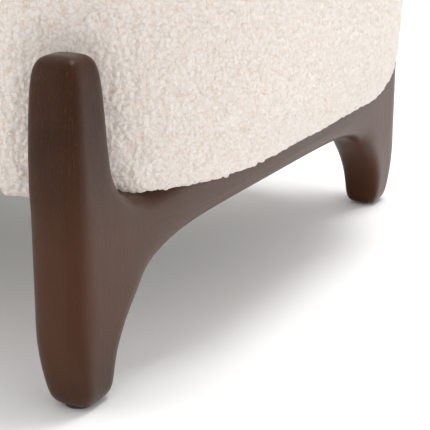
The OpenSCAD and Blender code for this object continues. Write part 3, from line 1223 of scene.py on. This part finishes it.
def rounding(depth: float, rise: float, count: int = 10) -> list[tuple[float, float]]:
    """Return inset and height pairs of a quarter-round lower edge.

    Args:
        depth: How far the edge draws in.
        rise: Its height.
        count: How many steps.

    Returns:
        The pairs, from the outermost inset to none.
    """
    return [
        (depth * (1 - math.sin(a)), rise * (1 - math.cos(a)))
        for a in (math.pi / 2 * k / count for k in range(count + 1))
    ]


def arc(cx: float, cy: float, r: float, a0: float, a1: float, count: int = 14) -> np.ndarray:
    """Return points along an arc, with angles in degrees."""
    a = np.radians(np.linspace(a0, a1, count))
    return np.stack([cx + r * np.cos(a), cy + r * np.sin(a)], axis=1)


@dataclass
class Arm:
    """One upholstered arm that wraps the sofa's rounded corners, front and rear."""

    pile: Pile
    corner: float = 0.262
    inner: float = 0.020
    # The lower edge's rounding, inwards and upwards, and the share of it that the front has
    under_in: float = 0.034
    under_rise: float = 0.069
    front_share: float = 0.6
    crown: float = 0.080
    # Lift of the lower edge at the front and the rear
    tilt: tuple = (-0.0022, 0.0045)
    # How far the side swells, and the heights where that starts and is full
    bulge: float = 0.009
    bulge_span: tuple = (0.31, 0.37)
    step: float = 0.0021
    far_step: float = 0.0029

    def __post_init__(self) -> None:
        """Read the arm's box."""
        self.low, self.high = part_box("arm_right")
        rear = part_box("rear_leg_right")[1].y - LEG_FACE
        self.y1 = rear + REAR_OVER
        back_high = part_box("back_pad")[1]
        self.rake = (back_high.y - self.y1) / (back_high.z - self.low.z)

    def _ring(self, d: float, d_in: float, z: float) -> np.ndarray:
        """Outline of the right arm at one height.

        Args:
            d: Inset on the outer side.
            d_in: Inset on the inner side.
            z: The height.

        Returns:
            The outline as rows of x, y, z.
        """
        r = self.corner - d
        cx = self.high.x - self.corner
        cy0 = self.low.y + self.corner
        cy1 = self.y1 - self.corner
        ix = self.low.x + d_in + self.inner
        end = math.degrees(math.acos((ix - cx) / r))
        dip = r * math.sin(math.radians(end))
        slope = self.rake * (z - self.low.z)
        swell = self.bulge * float(np.interp(z, self.bulge_span, (0.0, 1.0)))
        flat = np.concatenate([
            arc(ix, cy0 - dip + self.inner, self.inner, 180, 250, 6),
            arc(cx + swell, cy0, r, 3 - end, 0),
            arc(cx + swell, cy1 + slope, r, 0, end - 3),
            arc(ix, cy1 + dip - self.inner + slope, self.inner, 110, 180, 6),
        ])
        if z < (self.low.z + self.high.z) / 2:
            flat[flat[:, 1] < cy0 + 1e-6, 1] -= d * (1 - self.front_share)
        low = max(0.0, 1 - (z - self.low.z) / self.under_rise)
        height = z + low * np.interp(flat[:, 1], (self.low.y, self.y1), self.tilt)
        return np.column_stack([flat, height])

    def build(self) -> dict[str, bpy.types.Object]:
        """Build the right arm and mirror it.

        Returns:
            Both arms by node name.
        """
        levels = [(d, 0.0, self.low.z + h) for d, h in rounding(self.under_in, self.under_rise)]
        levels += [(d, d * 0.8, self.high.z - h) for d, h in reversed(rounding(self.crown, self.crown))]
        arm = loft("arm_right_cover", [self._ring(*level) for level in levels])
        left = mirror_copy(arm, "arm_left_cover")
        even_mesh(arm, self.step, 6)
        even_mesh(left, self.far_step, 4)
        self.pile.grow(arm)
        self.pile.grow(left)
        return {"arm_right": arm, "arm_left": left}


@dataclass(frozen=True)
class PadShape:
    """Sizes of a rounded block of padding, where the two edges' roundings are given inwards and in height."""

    radius: float
    under: tuple[float, float]
    crown: tuple[float, float]
    step: float
    slope: float = 0.0


def pad_rings(low: Vector, high: Vector, shape: PadShape) -> list[np.ndarray]:
    """Outline a rounded block, level by level.

    Args:
        low: Lowest corner.
        high: Highest corner.
        shape: Its rounding.

    Returns:
        The rings, lowest first.
    """
    rings = []
    levels = [(d, low.z + h) for d, h in rounding(*shape.under)]
    levels += [(d, high.z - h) for d, h in reversed(rounding(*shape.crown))]
    for d, z in levels:
        r = max(shape.radius - d, 0.004)
        x0, x1, y0 = low.x + d, high.x - d, low.y + d
        y1 = high.y - d - shape.slope * (high.z - z)
        flat = np.concatenate([
            arc(x0 + r, y0 + r, r, 180, 270, 8), arc(x1 - r, y0 + r, r, 270, 360, 8),
            arc(x1 - r, y1 - r, r, 0, 90, 8), arc(x0 + r, y1 - r, r, 90, 180, 8),
        ])
        rings.append(np.column_stack([flat, np.full(len(flat), z)]))
    return rings


@dataclass
class FixedPads:
    """The front band and the back, which are nailed to the carcass."""

    pile: Pile

    def build(self) -> dict[str, bpy.types.Object]:
        """Build both pads.

        Returns:
            The pads by node name.
        """
        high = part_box("back_pad")[1]
        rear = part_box("rear_leg_right")[1].y - LEG_FACE + REAR_OVER
        slope = (high.y - rear) / (high.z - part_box("arm_right")[0].z)
        plan = {
            "back_pad": ("back_cover", PadShape(0.030, (0.012, 0.030), (0.052, 0.060), 0.0044, slope), 6),
            "front_band": ("front_band_cover", PadShape(0.012, (0.006, 0.030), (0.006, 0.012), 0.0040), 3),
        }
        made = {}
        for node, (name, shape, smooth) in plan.items():
            made[node] = loft(name, pad_rings(*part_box(node), shape))
            even_mesh(made[node], shape.step, smooth)
            self.pile.grow(made[node])
        return made


@dataclass
class LooseCushion:
    """A loose cushion, puffed by a cloth simulation and held to its own space."""

    node: str
    pile: Pile
    shape: PadShape
    pressure: float = 4.0
    cap: float = 0.022
    sim_step: float = 0.014
    sim_frames: int = 20
    # Seams as shares of the cushion's size along one axis, with their depth and width
    seams: tuple = ()
    seam_axis: int = 2
    seam_depth: float = 0.0065
    seam_width: float = 0.0045
    # How far the cover may stand proud in front and on top, and its distance from its neighbours
    # in pile heights
    proud: tuple = (0.010, 0.012)
    clear: float = 0.4

    def build(self) -> bpy.types.Object:
        """Build the cushion.

        Returns:
            The cushion's cover.
        """
        low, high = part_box(self.node)
        cushion = loft(f"{self.node}_cover", pad_rings(low, high, self.shape))
        even_mesh(cushion, self.sim_step, 2)
        self._puff(cushion)
        self._hold(cushion, low, high)
        even_mesh(cushion, self.shape.step, 8)
        self._seams(cushion, low, high)
        self.pile.grow(cushion)
        return cushion

    def _puff(self, obj: bpy.types.Object) -> None:
        """Swell the cover with air pressure, no further than the cap.

        Args:
            obj: The cover.
        """
        start = get_points(obj).astype(np.float64)
        activate(obj)
        mod = obj.modifiers.new("Puff", "CLOTH")
        settings = {
            "quality": 5, "mass": 0.4, "use_pressure": True, "uniform_pressure_force": self.pressure,
            "tension_stiffness": 12.0, "compression_stiffness": 12.0, "shear_stiffness": 6.0,
            "bending_stiffness": 0.6,
        }
        for name, value in settings.items():
            setattr(mod.settings, name, value)
        mod.settings.effector_weights.gravity = 0.0
        mod.collision_settings.use_collision = False
        mod.point_cache.frame_start = 1
        mod.point_cache.frame_end = self.sim_frames
        scene = bpy.context.scene
        for number in range(1, self.sim_frames + 1):
            scene.frame_set(number)
        bpy.ops.object.modifier_apply(modifier=mod.name)
        scene.frame_set(1)
        moved = get_points(obj).astype(np.float64) - start
        size = np.linalg.norm(moved, axis=1, keepdims=True)
        set_points(obj, start + moved * np.minimum(1.0, self.cap / np.maximum(size, 1e-9)))

    def _hold(self, obj: bpy.types.Object, low: Vector, high: Vector) -> None:
        """Keep the cover inside the space of its solid, flat where it meets a neighbour.

        Args:
            obj: The cover.
            low: The solid's lowest corner.
            high: Its highest corner.
        """
        room = self.pile.height * self.clear
        front, top = self.proud
        p = get_points(obj)
        p[:, 0] = np.clip(p[:, 0], low.x + room, high.x - room)
        p[:, 1] = np.clip(p[:, 1], low.y - front, high.y - room)
        p[:, 2] = np.clip(p[:, 2], low.z + room, high.z + top)
        set_points(obj, p)

    def _seams(self, obj: bpy.types.Object, low: Vector, high: Vector) -> None:
        """Draw the cover in along its sewn seams, which run round it square to one axis.

        Args:
            obj: The cover.
            low: The solid's lowest corner.
            high: Its highest corner.
        """
        p = get_points(obj)
        n = get_normals(obj)
        k = self.seam_axis
        side = np.clip(1.0 - np.abs(n[:, k]) * 1.1, 0, 1)
        for share in self.seams:
            place = low[k] + share * (high[k] - low[k])
            depth = self.seam_depth * np.exp(-(((p[:, k] - place) / self.seam_width) ** 2)) * side
            p = p - n * depth[:, None]
        set_points(obj, p)


@dataclass
class Deck:
    """The felt pad over the seat springs and the cloth tacked under the carcass."""

    felt_step: float = 0.009
    felt_mesh: float = 0.6
    # How far the felt has settled everywhere, and again at most in its hollows
    felt_settle: float = 0.0012
    cells: tuple = (48, 24)
    sag: float = 0.006
    cloth_t: float = 0.0008

    def build_felt(self) -> bpy.types.Object:
        """Build the felt pad with soft edges and a slight swell.

        Returns:
            The pad.
        """
        low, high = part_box("deck_pad")
        shape = PadShape(0.012, (0.004, 0.006), (0.006, 0.006), self.felt_step)
        felt = loft("deck_felt_pad", pad_rings(low, high, shape))
        even_mesh(felt, self.felt_step * self.felt_mesh, 2)
        p = get_points(felt)
        top = np.clip((p[:, 2] - low.z) / (high.z - low.z), 0, 1)
        p[:, 2] -= top * (self.felt_settle + self.felt_settle * np.abs(drift(p, 0.09, 61)[:, 0]))
        set_points(felt, p)
        shade_smooth(felt)
        return felt

    def build_cloth(self) -> tuple[bpy.types.Object, tuple[float, float]]:
        """Build the dust cloth, stretched from edge to edge with a slight sag.

        Returns:
            The cloth and its flat size.
        """
        low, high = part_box("dust_cover")
        deselect_all()
        bpy.ops.mesh.primitive_grid_add(x_subdivisions=self.cells[0], y_subdivisions=self.cells[1], size=1.0)
        cloth = bpy.context.active_object
        cloth.name = "dust_cloth_sheet"
        size = high - low
        middle = (low + high) / 2
        place = Matrix.Translation((middle.x, middle.y, high.z - self.cloth_t))
        cloth.data.transform(place @ Matrix.Diagonal((size.x, size.y, 1.0, 1.0)))
        p = get_points(cloth)
        u = (p[:, 0] - middle.x) / (size.x / 2)
        v = (p[:, 1] - middle.y) / (size.y / 2)
        edge = np.clip((1 - np.abs(u)) * 3, 0, 1) * np.clip((1 - np.abs(v)) * 2, 0, 1)
        p[:, 2] -= self.sag * edge * (1 + 0.3 * drift(p, 0.12, 71)[:, 0]) * (1 - v**2) * 0.9
        set_points(cloth, p)
        add_modifier(cloth, "SOLIDIFY", thickness=self.cloth_t, offset=1.0)
        shade_smooth(cloth)
        return cloth, (size.x, size.y)

    def dress(self, finishes: Finishes) -> None:
        """Build and dress both pieces, hiding the CAD nodes that they stand for.

        Args:
            finishes: The finishes.
        """
        felt = self.build_felt()
        finish_piece(felt, finishes.felt, nodes=["deck_pad"])
        cloth, flat = self.build_cloth()
        finish_piece(cloth, finishes.dust, nodes=["dust_cover"])


@dataclass
class ZipTeeth:
    """A row of teeth along each cushion's zip."""

    pitch: float = 0.006
    tooth: tuple = (0.0034, 0.0012, 0.0052)
    bevel: float = 0.0004

    def build(self, node: str) -> bpy.types.Object:
        """Build one zip's teeth from a bevelled block copied along the tape.

        Args:
            node: The zip's CAD node.

        Returns:
            All teeth as one piece.
        """
        low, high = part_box(node)
        start = Vector((low.x + self.pitch, high.y + self.tooth[1] / 2, (low.z + high.z) / 2))
        row = make_block(node.replace("_zip_", "_zip_teeth_"), start, self.tooth)
        add_modifier(row, "BEVEL", width=self.bevel, segments=1)
        count = int((high.x - low.x) / self.pitch) - 1
        add_modifier(
            row, "ARRAY", count=count, use_relative_offset=False, use_constant_offset=True,
            constant_offset_displace=(self.pitch, 0, 0),
        )
        return row


# ---- Hidden and small parts ----


@dataclass
class Hardware:
    """CAD pieces that keep their shape and only need their finish."""

    finishes: Finishes

    def dress(self) -> None:
        """Give each kept CAD node its material."""
        f = self.finishes
        plan = {
            "rail_dowels": f.beech, "frame_bolts": f.zinc, "bolt_washers": f.zinc,
            "threaded_inserts": f.brass,
            "sill_left": f.pine_long, "sill_right": f.pine_long, "front_timber": f.pine_wide,
            "rear_timber": f.pine_wide, "seat_joists": f.pine_long, "corner_blocks": f.pine_long,
            "arm_board_left": f.ply, "arm_board_right": f.ply, "back_board": f.ply, "back_posts": f.pine_tall,
            "spring_clips": f.zinc, "seat_springs": f.spring, "foot_glides": f.nylon,
        }
        for side in SIDES:
            for kind in ("seat", "back"):
                plan[f"{kind}_zip_{side}"] = f.tape
                plan[f"{kind}_slider_{side}"] = f.zip_metal
        for node, mat in plan.items():
            dress(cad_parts[node], mat)
            LOG.info("dressed %s", node)


# ---- Stage ----


@dataclass(frozen=True)
class Softbox:
    """One square soft light: its place, what it points at, its side and its power in watts."""

    name: str
    place: tuple
    aim: tuple
    side: float
    power: float

    def hang(self) -> None:
        """Hang the light."""
        data = bpy.data.lights.new(self.name, "AREA")
        data.size = self.side
        data.energy = self.power
        light = add_object(self.name, data)
        light.location = self.place
        light.rotation_euler = (Vector(self.aim) - Vector(self.place)).to_track_quat("-Z", "Y").to_euler()


@dataclass
class Studio:
    """Pale floor, soft lights and the camera."""

    # Focal length in picture widths, and the camera's turn and tilt in degrees
    focal: float = 1300.0 / 430.0
    sensor: float = 36.0
    tilt: float = 16.82
    yaw: float = 26.77
    # Camera place from the right front leg's foot, in metres
    place: tuple = (0.6414, -0.9783, 0.5429)
    floor_size: float = 60.0
    sky: float = 0.86
    softboxes: tuple = (
        Softbox("top_softbox", (1.25, 0.5, 3.0), (1.0, -0.35, 0.0), 1.3, 62.0),
        Softbox("side_softbox", (3.6, 0.6, 1.6), (0.9, 0.0, 0.3), 2.0, 1.0),
        Softbox("fill_softbox", (-2.4, -3.2, 1.4), (0.5, -0.3, 0.2), 2.0, 14.0),
    )

    def camera(self, foot: Vector) -> None:
        """Set the camera by the right front foot.

        Args:
            foot: Centre of the foot on the floor.
        """
        data = bpy.data.cameras.new("camera")
        data.sensor_width = self.sensor
        data.lens = self.focal * self.sensor
        data.clip_start = 0.05
        data.clip_end = self.floor_size
        cam = add_object("camera", data)
        cam.location = foot + Vector(self.place)
        yaw, tilt = math.radians(self.yaw), math.radians(self.tilt)
        look = Vector((-math.sin(yaw) * math.cos(tilt), math.cos(yaw) * math.cos(tilt), -math.sin(tilt)))
        cam.rotation_euler = look.to_track_quat("-Z", "Y").to_euler()
        bpy.context.scene.camera = cam

    def floor(self) -> None:
        """Lay the floor."""
        deselect_all()
        bpy.ops.mesh.primitive_plane_add(size=self.floor_size, location=(0, 0, 0))
        obj = bpy.context.active_object
        obj.name = "floor"
        mat, _, shader = new_material("pale_floor")
        preset(shader, {"Base Color": rgb(0.95, 0.95, 0.95), "Roughness": 0.9, "Specular IOR Level": 0.1})
        dress(obj, mat)

    def lights(self) -> None:
        """Light the stage softly from all round, from above and from the front left."""
        world = bpy.data.worlds.new("studio")
        bpy.context.scene.world = world
        world.use_nodes = True
        back = world.node_tree.nodes["Background"]
        back.inputs[0].default_value = rgb(1.0, 1.0, 1.0)
        back.inputs[1].default_value = self.sky
        for softbox in self.softboxes:
            softbox.hang()
        bpy.context.scene.view_settings.view_transform = "Standard"


# ---- Assembly ----


def main() -> None:
    """Build the sofa and its stage in order."""
    logging.basicConfig(level=logging.INFO, format="%(name)s: %(message)s")
    finishes = Finishes()
    Hardware(finishes).dress()

    wood = SideFrame()
    wood.dress(wood.build(), finishes)

    pile = Pile()
    fixed = {**Arm(pile).build(), **FixedPads(pile).build()}
    for node, piece in fixed.items():
        finish_piece(piece, finishes.boucle, nodes=[node])

    kinds = {
        "seat": dict(
            shape=PadShape(0.030, (0.014, 0.026), (0.022, 0.040), 0.0048), seams=(0.14, 0.84), seam_axis=2
        ),
        "back": dict(
            shape=PadShape(0.040, (0.030, 0.040), (0.042, 0.060), 0.0048), seams=(0.5,), seam_axis=1
        ),
    }
    for side in SIDES:
        for kind, sizes in kinds.items():
            node = f"{kind}_cushion_{side}"
            cushion = LooseCushion(node, pile, **sizes).build()
            finish_piece(cushion, finishes.boucle, body=f"{node}_body", nodes=[node])
            teeth = ZipTeeth().build(f"{kind}_zip_{side}")
            finish_piece(teeth, finishes.zip_metal, body=f"{node}_body")
    Deck().dress(finishes)

    studio = Studio()
    studio.camera(Vector((wood.x, wood.y0, 0.0)))
    studio.floor()
    studio.lights()


if __name__ == "__main__":
    main()
